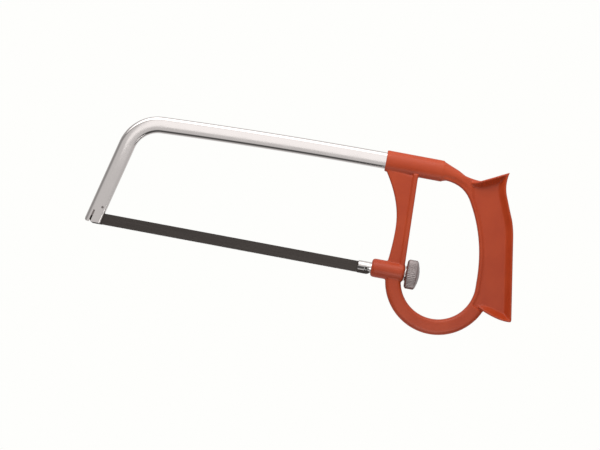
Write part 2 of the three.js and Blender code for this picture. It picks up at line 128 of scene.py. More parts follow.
def plate(outline, thickness, rounding=0.0, segments=4):
    """A plate in the saw's plane, centred on Y = 0, with its two outer edges rounded."""
    bm = bmesh.new()
    face = bm.faces.new([bm.verts.new((x, -thickness / 2, z)) for x, z in clean(outline)])
    moved = bmesh.ops.extrude_face_region(bm, geom=[face])["geom"]
    top = [v for v in moved if isinstance(v, bmesh.types.BMVert)]
    bmesh.ops.translate(bm, verts=top, vec=(0, thickness, 0))
    bmesh.ops.recalc_face_normals(bm, faces=bm.faces)
    if rounding:
        rims = [e for e in bm.edges if abs(e.verts[0].co.y - e.verts[1].co.y) < 1e-6]
        bmesh.ops.bevel(
            bm, geom=rims, offset=rounding, segments=segments, profile=0.5,
            affect="EDGES", material=-1, clamp_overlap=False,
        )
    return bm


def bar(diameter, start, end, segments=48, rounding=0.0):
    """A round bar between two points, with its ends rounded or chamfered."""
    bm = bmesh.new()
    along = Vector(end) - Vector(start)
    bmesh.ops.create_cone(
        bm, cap_ends=True, segments=segments, radius1=diameter / 2, radius2=diameter / 2,
        depth=along.length,
    )
    if rounding:
        ends = [e for e in bm.edges if abs(e.verts[0].co.z - e.verts[1].co.z) < 1e-6]
        bmesh.ops.bevel(
            bm, geom=ends, offset=rounding, segments=3, profile=0.5,
            affect="EDGES", material=-1,
        )
    turn = along.to_track_quat("Z", "Y").to_matrix().to_4x4()
    bmesh.ops.transform(bm, matrix=turn, verts=bm.verts)
    bmesh.ops.translate(bm, verts=bm.verts, vec=(Vector(start) + Vector(end)) / 2)
    return bm


def block(low, high):
    """A box between two corners."""
    bm = bmesh.new()
    size = Vector(high) - Vector(low)
    bmesh.ops.create_cube(bm, size=1)
    bmesh.ops.scale(bm, vec=size, verts=bm.verts)
    bmesh.ops.translate(bm, verts=bm.verts, vec=Vector(low) + size / 2)
    return bm


def ellipse(width, thickness, steps=48):
    """An elliptical outline: (across the saw, in its plane)."""
    turn = [2 * math.pi * i / steps for i in range(steps)]
    return [(thickness / 2 * math.cos(a), width / 2 * math.sin(a)) for a in turn]


def oval(width, thickness, steps=16):
    """A flat-oval outline: (across the saw, in its plane)."""
    radius, reach = thickness / 2, (width - thickness) / 2
    return arc(0, reach, radius, 0, 180, steps) + arc(0, -reach, radius, 180, 360, steps)


def swept(rings):
    """A closed bar made by extruding its first ring of points through all the others."""
    bm = bmesh.new()
    ring = [bm.verts.new(point) for point in rings[0]]
    edges = [bm.edges.new((ring[i - 1], ring[i])) for i in range(len(ring))]
    for points in rings[1:]:
        order = {tuple(v.co): i for i, v in enumerate(ring)}
        made = bmesh.ops.extrude_edge_only(bm, edges=edges)["geom"]
        ring = [v for v in made if isinstance(v, bmesh.types.BMVert)]
        ring.sort(key=lambda v: order[tuple(v.co)])
        here = set(ring)
        edges = [
            e for e in made if isinstance(e, bmesh.types.BMEdge) and here.issuperset(e.verts)
        ]
        for vertex, point in zip(ring, points):
            vertex.co = point
    ends = [e for e in bm.edges if e.is_boundary]
    bmesh.ops.holes_fill(bm, edges=ends, sides=0)
    bmesh.ops.recalc_face_normals(bm, faces=bm.faces)
    return bm


def loft(stations, section):
    """A bar through (x, z, direction of travel) stations. The section is the same at each, or is
    a list with one section per station."""
    sections = section if isinstance(section[0], list) else [section] * len(stations)
    rings = []
    for (x, z, travel), outline in zip(stations, sections):
        side = Vector((-travel[1], 0, travel[0]))
        rings.append([Vector((x, across, z)) + side * inplane for across, inplane in outline])
    return swept(rings)


def mitred(points):
    """Each point of a path with its inward normal, stretched at corners. The material is on the
    right of the direction of travel."""
    points = [Vector(p) for p in clean(points)]
    made = []
    for i, p in enumerate(points):
        into = p - points[i - 1] if i else points[1] - p
        out = points[i + 1] - p if i < len(points) - 1 else into
        into, out = into.normalized(), out.normalized()
        mean = (into + out).normalized()
        made.append((p, Vector((mean.y, -mean.x)) / max(mean.dot(into), 0.45)))
    return made


def edge_band(points, profile, taper=0.0, least=1.0):
    """A bar along an edge, whose section is a list of (depth into the material, across the saw).
    Over the `taper` distance from each end it narrows across the saw to the `least` part."""
    path = mitred(points)
    first, last = path[0][0], path[-1][0]
    rings = []
    for p, inward in path:
        near = min((p - first).length, (p - last).length)
        width = 1.0 if near >= taper else least + (1 - least) * math.sin(near / taper * math.pi / 2)
        ring = [(p + inward * depth, across * width) for depth, across in profile]
        rings.append([(q.x, across, q.y) for q, across in ring])
    return swept(rings)


def rounded(depth_from, depth_to, thickness, radius, steps=4):
    """A rounded-rectangle section for edge_band()."""
    made = []
    middle_depth, half = (depth_from + depth_to) / 2, (depth_to - depth_from) / 2 - radius
    corners = ((1, 1, 0), (-1, 1, 90), (-1, -1, 180), (1, -1, 270))
    for sx, sy, start in corners:
        centre = (middle_depth + sx * half, sy * (thickness / 2 - radius))
        made += arc(centre[0], centre[1], radius, start, start + 90, steps)
    return made


def flat_sided(width, thickness, radius, steps=10):
    """The tube's outline, flat on all four sides: (across the saw, in its plane)."""
    return [(a, d) for d, a in rounded(-width / 2, width / 2, thickness, radius, steps)]


def as_object(name, bm):
    mesh = bpy.data.meshes.new(name)
    bm.to_mesh(mesh)
    bm.free()
    made = bpy.data.objects.new(name, mesh)
    bpy.context.scene.collection.objects.link(made)
    return made


def gather(name, shapes):
    """One object that holds several closed shapes, which may overlap."""
    whole = bmesh.new()
    for bm in shapes:
        part = bpy.data.meshes.new("part")
        bm.to_mesh(part)
        bm.free()
        whole.from_mesh(part)
        bpy.data.meshes.remove(part)
    return as_object(name, whole)


def settle(piece):
    """Applies the piece's modifiers to its mesh."""
    graph = bpy.context.evaluated_depsgraph_get()
    mesh = bpy.data.meshes.new_from_object(piece.evaluated_get(graph))
    piece.modifiers.clear()
    old, piece.data = piece.data, mesh
    bpy.data.meshes.remove(old)
    return piece


def modify(piece, kind, **settings):
    made = piece.modifiers.new(kind.title(), kind)
    for key, value in settings.items():
        setattr(made, key, value)
    return made


def carve(piece, tool, operation="DIFFERENCE"):
    """Cuts, joins or keeps the tool's shape, and uses the tool up."""
    modify(piece, "BOOLEAN", object=tool, operation=operation, solver="EXACT")
    bpy.context.view_layer.update()
    settle(piece)
    bpy.data.objects.remove(tool)
    return piece


def place(piece, material, body, nodes, crease=35):
    """Moves a finished piece from the drafting frame to the saw's, and hangs it on its body."""
    piece.data.transform(Matrix.Translation(FRONT_PIN) @ Matrix.Scale(MM, 4))
    piece.data.materials.clear()
    piece.data.materials.append(material)
    piece.data.polygons.foreach_set("use_smooth", [True] * len(piece.data.polygons))
    piece.data.set_sharp_from_angle(angle=math.radians(crease))
    piece.data.update()
    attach(piece, body)
    if nodes:
        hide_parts(*nodes)
    return piece


# ---- materials ---------------------------------------------------------------------------------


def colour(code):
    """An sRGB hex colour as linear RGBA."""
    parts = [int(code[i:i + 2], 16) / 255 for i in (0, 2, 4)]
    linear = [c / 12.92 if c <= 0.04045 else ((c + 0.055) / 1.055) ** 2.4 for c in parts]
    return (*linear, 1.0)


def add(tree, kind, settings=None, links=None):
    """A node with its settings, input values and incoming links."""
    node = tree.nodes.new(kind)
    for key, value in (settings or {}).items():
        if isinstance(key, int) or key in node.inputs:
            node.inputs[key].default_value = value
        else:
            setattr(node, key, value)
    for key, source in (links or {}).items():
        tree.links.new(source, node.inputs[key])
    return node


MIX_FIRST, MIX_SECOND, MIX_COLOUR = 6, 7, 2  # the Mix node's colour sockets


def per_mm(size):
    """The scale at which a pattern repeats every `size` millimetres."""
    return 1 / (size * MM)


def new_material(name):
    """An empty material, its node tree, and the coordinates its patterns lie on."""
    material = bpy.data.materials.new(name)
    material.use_nodes = True
    tree = material.node_tree
    tree.nodes.clear()
    return material, tree, add(tree, "ShaderNodeTexCoord").outputs["Object"]


def enamel_on_casting():
    """Stove enamel sprayed on a die casting. It is satin, pools a little unevenly so the red shifts
    slowly from place to place, and has a faint orange peel."""
    material, tree, place_on = new_material("stove_enamel")
    flow = add(
        tree, "ShaderNodeTexNoise", {"Scale": per_mm(22), "Detail": 3.0}, {"Vector": place_on},
    ).outputs["Fac"]
    pooling = add(
        tree, "ShaderNodeMapRange", {"From Min": 0.3, "From Max": 0.7}, {"Value": flow},
    ).outputs["Result"]
    tint = add(
        tree, "ShaderNodeMix",
        {"data_type": "RGBA", MIX_FIRST: colour("B53F18"), MIX_SECOND: colour("BE471E")},
        {"Factor": pooling},
    ).outputs[MIX_COLOUR]
    sheen = add(
        tree, "ShaderNodeMapRange", {"To Min": 0.38, "To Max": 0.47}, {"Value": pooling},
    ).outputs["Result"]
    peel = add(
        tree, "ShaderNodeTexNoise", {"Scale": per_mm(1.6), "Detail": 1.0}, {"Vector": place_on},
    ).outputs["Fac"]
    dimples = add(
        tree, "ShaderNodeBump", {"Strength": 1.0, "Distance": 0.05 * MM}, {"Height": peel},
    ).outputs["Normal"]
    shader = add(
        tree, "ShaderNodeBsdfPrincipled",
        {"IOR": 1.46, "Coat Weight": 0.05, "Coat Roughness": 0.25},
        {"Base Color": tint, "Roughness": sheen, "Normal": dimples},
    )
    add(tree, "ShaderNodeOutputMaterial", None, {"Surface": shader.outputs["BSDF"]})
    return material


def nickel_chrome_plate():
    """Nickel-chrome plate on drawn and turned steel: mirror-like, faintly warm, with a haze that
    comes and goes, and the long low waves that polishing leaves."""
    material, tree, place_on = new_material("nickel_chrome_plate")
    haze = add(
        tree, "ShaderNodeTexNoise", {"Scale": per_mm(14), "Detail": 4.0}, {"Vector": place_on},
    ).outputs["Fac"]
    polish = add(
        tree, "ShaderNodeMapRange",
        {"From Min": 0.3, "From Max": 0.7, "To Min": 0.06, "To Max": 0.11}, {"Value": haze},
    ).outputs["Result"]
    lengthwise = add(
        tree, "ShaderNodeMapping", {"Scale": (0.3, 1, 1)}, {"Vector": place_on},
    ).outputs["Vector"]
    waves = add(
        tree, "ShaderNodeTexNoise", {"Scale": per_mm(12), "Detail": 1.0}, {"Vector": lengthwise},
    ).outputs["Fac"]
    relief = add(
        tree, "ShaderNodeBump", {"Strength": 1.0, "Distance": 0.004 * MM}, {"Height": waves},
    ).outputs["Normal"]
    shader = add(
        tree, "ShaderNodeBsdfPrincipled", {"Base Color": colour("F0E9E6"), "Metallic": 1.0},
        {"Roughness": polish, "Normal": relief},
    )
    add(tree, "ShaderNodeOutputMaterial", None, {"Surface": shader.outputs["BSDF"]})
    return material


def zinc_plated_steel():
    """Zinc plate on turned and knurled steel: a dull grey with a fine, slightly blotchy grain."""
    material, tree, place_on = new_material("zinc_plated_steel")
    grain = add(
        tree, "ShaderNodeTexNoise", {"Scale": per_mm(3), "Detail": 4.0}, {"Vector": place_on},
    ).outputs["Fac"]
    tint = add(
        tree, "ShaderNodeMix",
        {"data_type": "RGBA", MIX_FIRST: colour("9A8F8D"), MIX_SECOND: colour("ACA2A0")},
        {"Factor": grain},
    ).outputs[MIX_COLOUR]
    dullness = add(
        tree, "ShaderNodeMapRange",
        {"From Min": 0.3, "From Max": 0.7, "To Min": 0.34, "To Max": 0.48}, {"Value": grain},
    ).outputs["Result"]
    relief = add(
        tree, "ShaderNodeBump", {"Strength": 1.0, "Distance": 0.02 * MM}, {"Height": grain},
    ).outputs["Normal"]
    shader = add(
        tree, "ShaderNodeBsdfPrincipled", {"Metallic": 1.0},
        {"Base Color": tint, "Roughness": dullness, "Normal": relief},
    )
    add(tree, "ShaderNodeOutputMaterial", None, {"Surface": shader.outputs["BSDF"]})
    return material


def blackened_blade_steel():
    """Hardened strip with a baked black varnish: near black and a little brown, with the fine
    lengthwise lines of rolling, drawn 0.9 mm apart so that they show."""
    material, tree, place_on = new_material("blackened_blade_steel")
    lengthwise = add(
        tree, "ShaderNodeMapping", {"Scale": (0.02, 1, 1)}, {"Vector": place_on},
    ).outputs["Vector"]
    lines = add(
        tree, "ShaderNodeTexNoise", {"Scale": per_mm(0.9), "Detail": 3.0}, {"Vector": lengthwise},
    ).outputs["Fac"]
    tint = add(
        tree, "ShaderNodeMix",
        {"data_type": "RGBA", MIX_FIRST: colour("3A332F"), MIX_SECOND: colour("514A46")},
        {"Factor": lines},
    ).outputs[MIX_COLOUR]
    relief = add(
        tree, "ShaderNodeBump", {"Strength": 1.0, "Distance": 0.015 * MM}, {"Height": lines},
    ).outputs["Normal"]
    shader = add(
        tree, "ShaderNodeBsdfPrincipled", {"Metallic": 0.35, "Roughness": 0.5, "IOR": 1.5},
        {"Base Color": tint, "Normal": relief},
    )
    add(tree, "ShaderNodeOutputMaterial", None, {"Surface": shader.outputs["BSDF"]})
    return material


ENAMEL = enamel_on_casting()
PLATE = nickel_chrome_plate()
STEEL = zinc_plated_steel()
BLACK = blackened_blade_steel()

# ---- the handle --------------------------------------------------------------------------------


def palm_edge():
    """From the neck over the upper horn, down the palm face, to the lower horn's notch."""
    return clean(
        curve([(REAR + 105, TOP - 3.1), (REAR + 120, TOP + 4.2), (REAR + 134.1, TOP + 11.5)], 8)
        + curve([
            (REAR + 134.1, TOP + 11.5), (REAR + 130.6, TOP - 3), (REAR + 136.5, TOP - 16.2),
        ], 8)
        + curve([
            (REAR + 136.5, TOP - 16.2), (REAR + 140.6, TOP - 26.5), (REAR + 145.6, TOP - 38),
        ], 6)
        + curve([(REAR + 145.6, TOP - 38), (REAR + 149.4, TOP - 48), (REAR + 151.4, TOP - 62)], 6)
        + [(REAR + 165.1, -27.0)]
        + curve([(REAR + 164.6, -29), (REAR + 152.0, -30.6), (REAR + 133.5, -22.6)], 10)
    )


def finger_edge():
    """The grip's inner edge, from the ring up to the neck's underside."""
    return clean(
        arc(RING_X, 0, RING_RADIUS, -40, 0, 8)
        + curve([(REAR + 120.8, 7), (REAR + 120.5, TOP - 66.3), (REAR + 99.7, TOP - 29.9)], 14)
        + curve([
            (REAR + 99.7, TOP - 29.9), (REAR + 93.5, TOP - 17.5),
            (REAR + 84, TOP - 9.6), (REAR + 65, TOP - 9.2),
        ], 12)
    )


def post_front():
    """The waisted front edge of the post, from the sleeve down to the boss."""
    return curve([
        (REAR + 0.8, TOP - 8.5), (REAR + 13, TOP - 27),
        (REAR + 23.8, TOP - 47), (REAR + 23.6, 45),
    ], 14) + curve([(REAR + 23.6, 45), (REAR + 23.5, 25), (REAR + 21.4, 10)], 6)


def flange_section():
    """Half thickness of the palm flange against depth from its edge: a lip, then a slope."""
    lip, half_web = PALM_WIDTH / 2, WEB / 2 - 0.5
    side = [(0, lip - 1.0), (0.5, lip - 0.2), (1.2, lip), (1.9, lip - 0.5)]
    depth, across = side[-1]
    for i in range(1, 6):
        t = i / 5
        side.append((
            depth + (FLANGE_REACH - depth) * t, half_web + (across - half_web) * (1 - t) ** 1.25,
        ))
    return side + [(d, -a) for d, a in reversed(side)]


def make_handle():
    """Overlapping solids, remeshed so that their joints become fillets, then trimmed and bored."""
    palm, fingers = palm_edge(), finger_edge()
    lead_in = curve([(REAR + 94, TOP - 6), (REAR + 99.5, TOP - 5.8), (REAR + 105, TOP - 3.1)], 4)
    lead_out = [(REAR + 127, -19.6)]
    grip = palm + arc(RING_X, 0, RING_RADIUS + RING_WIDTH, -23, -36, 3) + fingers
    post = post_front() + [(REAR + 40, 8), (REAR + 37.3, TOP - 11.5)]
    neck = curve([
        (REAR + 61, TOP + 10.4), (REAR + 80, TOP + 1.4),
        (REAR + 90, TOP - 2.6), (REAR + 106, TOP - 3.1),
    ]) + [
        (REAR + 114, TOP + 0.5), (REAR + 112, TOP - 6),
        (REAR + 98, TOP - 12), (REAR + 101.5, TOP - 24),
    ] + curve([
        (REAR + 96.5, TOP - 24), (REAR + 92, TOP - 12),
        (REAR + 84, TOP - 9.6), (REAR + 64, TOP - 9.2),
    ])
    sleeve_section = ellipse(
        TUBE_WIDTH + 2 * (CLEARANCE + SLEEVE_WALL), TUBE_THICKNESS + 2 * (CLEARANCE + SLEEVE_WALL),
    )
    shapes = [
        plate(grip, WEB),
        plate(post, WEB, 1.5),
        edge_band(
            [(REAR + 40.9, 8), (REAR + 37.3, TOP - 9)], rounded(-POST_RIM, 0, RIM, 1.6),
        ),
        plate(neck, NECK, 2.2),
        edge_band(
            arc(RING_X, 0, RING_RADIUS, 178, 336, 40), rounded(0, RING_WIDTH, RIM + 0.5, 4.5),
        ),
        edge_band(fingers, rounded(0, 4.8, RIM - 1.4, 2.2)),
        edge_band(lead_in + palm + lead_out, flange_section(), FLANGE_TAPER, FLANGE_END),
        loft([(REAR, TOP, (1, 0)), (REAR + SLEEVE_LENGTH, TOP, (1, 0))], sleeve_section),
        loft([
            (REAR + SLEEVE_LENGTH - 2, TOP, (1, 0)), (REAR + SLEEVE_LENGTH + 5, TOP - 0.4, (1, 0)),
            (REAR + SLEEVE_LENGTH + 15, TOP - 3.1, (0.95, -0.3)),
            (REAR + SLEEVE_LENGTH + 25, TOP - 7.1, (0.87, -0.5)),
            (REAR + SLEEVE_LENGTH + 33, TOP - 13.5, (0.7, -0.7)),
            (REAR + SLEEVE_LENGTH + 38, TOP - 22, (0.4, -0.9)),
        ], [
            ellipse(23.2, 15.2), ellipse(18.2, 14.6), ellipse(14.6, 13.8), ellipse(11.8, 13.0),
            ellipse(10.0, 12.0), ellipse(7.0, 9.6),
        ]),
        bar(BOSS_DIAMETER, (BOSS_FRONT, 0, DRAWBAR_Z), (BOSS_REAR, 0, DRAWBAR_Z), 48, 3.4),
    ]
    handle = gather("handle_casting", shapes)
    modify(handle, "REMESH", mode="VOXEL", voxel_size=VOXEL, use_smooth_shade=True)
    modify(handle, "SMOOTH", factor=0.5, iterations=SMOOTHINGS)
    settle(handle)
    modify(handle, "DECIMATE", ratio=FACES_KEPT)
    settle(handle)
    outside = [p - inward * TRIM for p, inward in mitred(palm)]
    outside = [tuple(p) for p in outside] + [
        (REAR + 133.5, -60), (REAR + 200, -60), (REAR + 200, TOP + 60), (REAR + 105, TOP + 60),
    ]
    carve(handle, as_object("outside", plate(outside, 60)))
    bore = flat_sided(
        TUBE_WIDTH + 2 * CLEARANCE, TUBE_THICKNESS + 2 * CLEARANCE, TUBE_CORNER + CLEARANCE,
    )
    inside = REAR + TUBE_INSERTION + CLEARANCE
    carve(handle, as_object("bore", loft([(REAR - 3, TOP, (1, 0)), (inside, TOP, (1, 0))], bore)))
    socket = bar(
        ROD_DIAMETER + 2 * CLEARANCE,
        (BOSS_FRONT - 3, 0, DRAWBAR_Z), (BOSS_FRONT + 2 * ROD_DIAMETER, 0, DRAWBAR_Z),
    )
    carve(handle, as_object("socket", socket))
    half = SQUARE_GUIDE / 2 + CLEARANCE
    guide = block(
        (BOSS_FRONT + 5, -half, DRAWBAR_Z - half), (BOSS_REAR + 3, half, DRAWBAR_Z + half),
    )
    carve(handle, as_object("guide", guide))
    knob_room = bar(KNOB_ROOM, (BOSS_REAR, 0, DRAWBAR_Z), (KNOB_REAR + 2, 0, DRAWBAR_Z), 64)
    carve(handle, as_object("knob_room", knob_room))
    return place(handle, ENAMEL, "frame", ["handle"], 50)


# ---- the tube ----------------------------------------------------------------------------------


def tube_stations():
    """The tube's axis as (x, z, direction), from below the foot to its end inside the sleeve."""
    up = Vector((math.sin(LEG_LEAN), math.cos(LEG_LEAN)))
    rear = Vector((up.y, -up.x))
    foot = Vector((-LEG_AHEAD, 0))
    end = REAR + TUBE_INSERTION
    camber = Vector((end - STRAIGHT_END, TOP - CAMBER_RADIUS))
    base = foot + rear * BEND_RADIUS
    to_base = base - camber
    along = to_base.dot(up)
    reach = CAMBER_RADIUS - BEND_RADIUS
    climb = -along + math.sqrt(along * along - to_base.length_squared + reach * reach)
    bend = base + up * climb
    outward = bend - camber
    end_angle = math.degrees(math.atan2(outward.y, outward.x))
    stations = [(*(foot + up * (climb * i / 24 - 12 * (1 - i / 24))), up) for i in range(24)]
    for centre, radius, start, finish, steps in (
        (bend, BEND_RADIUS, 180 - math.degrees(LEG_LEAN), end_angle, 40),
        (camber, CAMBER_RADIUS, end_angle, 90, 40),
    ):
        for x, z in arc(centre.x, centre.y, radius, start, finish, steps):
            out = (Vector((x, z)) - centre) / radius
            if math.dist((x, z), stations[-1][:2]) > 0.05:
                stations.append((x, z, Vector((out.y, -out.x))))
    stations.append((end, TOP, Vector((1, 0))))
    return stations


def beside_leg(ahead, up):
    """A point `ahead` of the leg's axis and `up` along it from the blade line."""
    lean, rise = math.sin(LEG_LEAN), math.cos(LEG_LEAN)
    return -LEG_AHEAD + up * lean - ahead * rise, up * rise + ahead * lean


def blade_slot():
    """The slot for the blade, through the tube's foot and the block in it."""
    return block((-40, -BLADE_SLOT / 2, -40), (40, BLADE_SLOT / 2, BLADE_SLOT_TOP))


def make_tube():
    stations = tube_stations()
    outside = flat_sided(TUBE_WIDTH, TUBE_THICKNESS, TUBE_CORNER)
    tube = as_object("bow_tube", loft(stations, outside))
    hollow = flat_sided(
        TUBE_WIDTH - 2 * TUBE_WALL, TUBE_THICKNESS - 2 * TUBE_WALL, TUBE_CORNER - TUBE_WALL, 6,
    )
    start, finish = stations[0], stations[-1]
    longer = [(start[0] - 2 * start[2].x, start[1] - 2 * start[2].y, start[2])] + stations[1:]
    longer.append((finish[0] + 2, finish[1], finish[2]))
    half = TUBE_WIDTH / 2 / math.cos(LEG_LEAN)
    corner = Vector((-LEG_AHEAD - half - FOOT_DROP * math.tan(LEG_LEAN), -FOOT_DROP))
    lean = Vector((math.sin(LEG_LEAN), math.cos(LEG_LEAN)))
    raised = corner + lean * FOOT_CORNER
    below = (
        [(corner.x - 20, -40), (60, -40), (60, -FOOT_DROP), (12, -FOOT_DROP)]
        + curve([(corner.x + FOOT_CORNER, corner.y), tuple(corner), tuple(raised)], 8)
        + [tuple(raised - lean.orthogonal() * 0.001), (corner.x - 20, raised.y)]
    )
    carve(tube, as_object("below", plate(below, 60)))
    carve(tube, as_object("hollow", loft(longer, hollow)))
    carve(tube, as_object("slot", blade_slot()))
    near, far = SIDE_SLIT
    slit = [
        beside_leg(far, SIDE_SLIT_TOP), beside_leg(near, SIDE_SLIT_TOP),
        beside_leg(near, -20), beside_leg(far, -20),
    ]
    carve(tube, as_object("slit", plate(slit, 30)))
    x, z = beside_leg(*RIVET_AT)
    carve(tube, as_object("rivet_hole", bar(RIVET_HOLE, (x, -20, z), (x, 20, z), 20)))
    return place(tube, PLATE, "frame", ["frame_tube"], 30)


def make_plug():
    """The block in the foot that the front pin pulls against."""
    fit = 2 * (TUBE_WALL + CLEARANCE)
    section = oval(TUBE_WIDTH - fit, TUBE_THICKNESS - fit, 12)
    stations = [s for s in tube_stations() if s[1] < 30]
    plug = as_object("anchor_block", loft(stations, section))
    carve(plug, as_object("stretch", block(
        (-60, -20, PLUG_BOTTOM), (60, 20, PLUG_TOP),
    )), "INTERSECT")
    carve(plug, as_object("slot", blade_slot()))
    carve(plug, as_object("pocket", block((-60, -20, -40), (PIN_ROOM, 20, PIN_ROOM))))
    return place(plug, STEEL, "frame", ["front_anchor_plug"], 30)


def make_rivet():
    x, z = beside_leg(*RIVET_AT)
    rivet = as_object("foot_rivet", bar(
        RIVET_DIAMETER, (x, -RIVET_REACH, z), (x, RIVET_REACH, z), 24, 0.3,
    ))
    return place(rivet, STEEL, "frame", ["plug_rivet"])


# ---- blade and tensioner -----------------------------------------------------------------------


def make_blade():
    """The blade, with a wavy set: its teeth lean to one side and the other, eight to a wave."""
    radius = BLADE_WIDTH / 2
    first, last = 9.0, REAR - 9.0
    teeth = int((last - first) / TOOTH_PITCH)
    edge = []
    for i in range(teeth):
        x = first + i * TOOTH_PITCH
        edge += [(x, -radius), (x + 0.3 * TOOTH_PITCH, -radius + TOOTH_DEPTH)]
    outline = (
        arc(0, 0, radius, 90, 270, 24) + edge + [(last, -radius)]
        + arc(REAR, 0, radius, -90, 90, 24)
    )
    blade = as_object("saw_blade", plate(outline, BLADE_THICKNESS))
    for vertex in blade.data.vertices:
        x, z = vertex.co.x, vertex.co.z
        if first < x < last and z < -radius + 0.1:
            vertex.co.y += TOOTH_SET * math.sin(2 * math.pi * (x - first) / (8 * TOOTH_PITCH))
    for x in (0, REAR):
        hole = bar(PIN_DIAMETER + 2 * CLEARANCE, (x, -3, 0), (x, 3, 0), 32)
        carve(blade, as_object("hole", hole))
    return place(blade, BLACK, "blade", ["blade"], 20)


def make_drawbar():
    """The slotted rod, the square that stops it turning, and the knob's shank, drawn plain."""
    nose = REAR - ROD_NOSE
    shoulder = BOSS_FRONT + 2 * ROD_DIAMETER - 6
    rod = as_object("slotted_rod", bar(
        ROD_DIAMETER, (nose, 0, DRAWBAR_Z), (shoulder, 0, DRAWBAR_Z), 64, 0.9,
    ))
    half = SQUARE_GUIDE / 2
    square = block(
        (shoulder - 1, -half, DRAWBAR_Z - half), (BOSS_REAR - 5, half, DRAWBAR_Z + half),
    )
    carve(rod, as_object("square", square), "UNION")
    shank = bar(
        SHANK_DIAMETER, (BOSS_REAR - 6, 0, DRAWBAR_Z), (KNOB_FRONT + 11, 0, DRAWBAR_Z), 48, 0.6,
    )
    carve(rod, as_object("shank", shank), "UNION")
    carve(rod, as_object("slot", block(
        (nose - 5, -BLADE_SLOT / 2, -20),
        (REAR + BLADE_WIDTH / 2 + 1.2, BLADE_SLOT / 2, BLADE_WIDTH / 2 + CLEARANCE),
    )))
    carve(rod, as_object("notch", block(
        (REAR - PIN_ROOM, -20, -20), (REAR + PIN_ROOM, 20, PIN_ROOM),
    )))
    return place(rod, PLATE, "drawbar", ["drawbar"], 30)


def make_front_pin():
    """The blade's front pin, its ends chamfered to clear the tube's rounded walls."""
    reach = TUBE_THICKNESS / 2 - TUBE_WALL - CLEARANCE
    pin = as_object("anchor_pin", bar(PIN_DIAMETER, (0, -reach, 0), (0, reach, 0), 32, 0.7))
    return place(pin, STEEL, "blade", ["front_blade_pin"])


def make_rear_pin():
    reach = (ROD_DIAMETER - 1.4) / 2
    pin = as_object("cross_pin", bar(PIN_DIAMETER, (REAR, -reach, 0), (REAR, reach, 0), 32, 0.3))
    return place(pin, BLACK, "drawbar", ["rear_blade_pin"])


def make_washer():
    start = BOSS_REAR + CLEARANCE
    washer = as_object("bright_washer", bar(
        WASHER_DIAMETER, (start, 0, DRAWBAR_Z), (start + WASHER_THICKNESS, 0, DRAWBAR_Z), 64, 0.2,
    ))
    carve(washer, as_object("hole", bar(
        SHANK_HOLE, (start - 2, 0, DRAWBAR_Z), (start + 3, 0, DRAWBAR_Z), 48,
    )))
    return place(washer, PLATE, "frame", ["thrust_washer"])


def make_knob():
    """A straight-knurled knob: rings of vertices along X, pushed in between the rim's ridges."""
    outside = (KNOB_HIGH.z - KNOB_LOW.z) / MM / 2
    length = KNOB_REAR - KNOB_FRONT
    face = length - KNOB_DOME
    stations = [  # along the knob, radius, depth of the knurl
        (1.2, 5.2, 0), (0.0, 6.5, 0), (0.0, 8.2, 0), (0.5, 9.2, 0), (0.5, 12.6, 0), (0.0, 13.4, 0),
        (0.15, 14.3, 0), (1.4, outside - 0.35, 0.2), (1.9, outside, 0.7),
        (face - 1.9, outside, 0.7), (face - 1.3, outside - 0.35, 0.2),
        (face - 0.2, outside - 1.7, 0), (face + 0.4, outside - 3.4, 0),
        (face + 1.6, outside * 0.55, 0), (face + 2.4, outside * 0.28, 0),
        (face + 2.68, outside * 0.08, 0),
    ]
    around = KNURLS * KNURL_POINTS
    rings = []
    for x, radius, knurl in stations:
        ring = []
        for i in range(around):
            angle = 2 * math.pi * i / around
            r = radius - knurl * (0.5 + 0.5 * math.cos(angle * KNURLS))
            ring.append((KNOB_FRONT + x, r * math.cos(angle), DRAWBAR_Z + r * math.sin(angle)))
        rings.append(ring)
    knob = as_object("knurled_knob", swept(rings))
    carve(knob, as_object("bore", bar(
        SHANK_HOLE, (KNOB_FRONT - 3, 0, DRAWBAR_Z), (KNOB_FRONT + 11.3, 0, DRAWBAR_Z), 48,
    )))
    return place(knob, STEEL, "knob", ["tension_knob"], 38)


for make in (
    make_handle, make_tube, make_plug, make_rivet, make_blade, make_drawbar, make_front_pin,
    make_rear_pin, make_washer, make_knob,
):
    make()
lock_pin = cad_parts["tube_lock_pin"]
lock_pin.data.materials.clear()
lock_pin.data.materials.append(STEEL)

# ---- camera, light and floor -------------------------------------------------------------------
VIEW_WIDTH = 652.8  # width of the view at the saw, mm
VIEW_CENTRE = (220.7, 33.0)
ROLL = math.radians(10.57)
LENS, SENSOR = 200.0, 36.0
FLOOR_RADIUS, FLOOR_Z = 0.95, -385  # m, and mm in the drafting frame


def in_frame(x, y, z):
    """A point of the drafting frame, in the saw's."""
    return FRONT_PIN + Vector((x, y, z)) * MM


def make_camera():
    data = bpy.data.cameras.new("camera")
    data.lens, data.sensor_width, data.clip_end = LENS, SENSOR, 50
    camera = bpy.data.objects.new("camera", data)
    bpy.context.scene.collection.objects.link(camera)
    distance = VIEW_WIDTH * LENS / SENSOR
    right = Vector((math.cos(ROLL), 0, math.sin(ROLL)))
    up = Vector((-math.sin(ROLL), 0, math.cos(ROLL)))
    back = Vector((0, -1, 0))
    turn = Matrix((right, up, back)).transposed().to_4x4()
    place_at = in_frame(VIEW_CENTRE[0], -distance, VIEW_CENTRE[1])
    camera.matrix_world = Matrix.Translation(place_at) @ turn
    bpy.context.scene.camera = camera


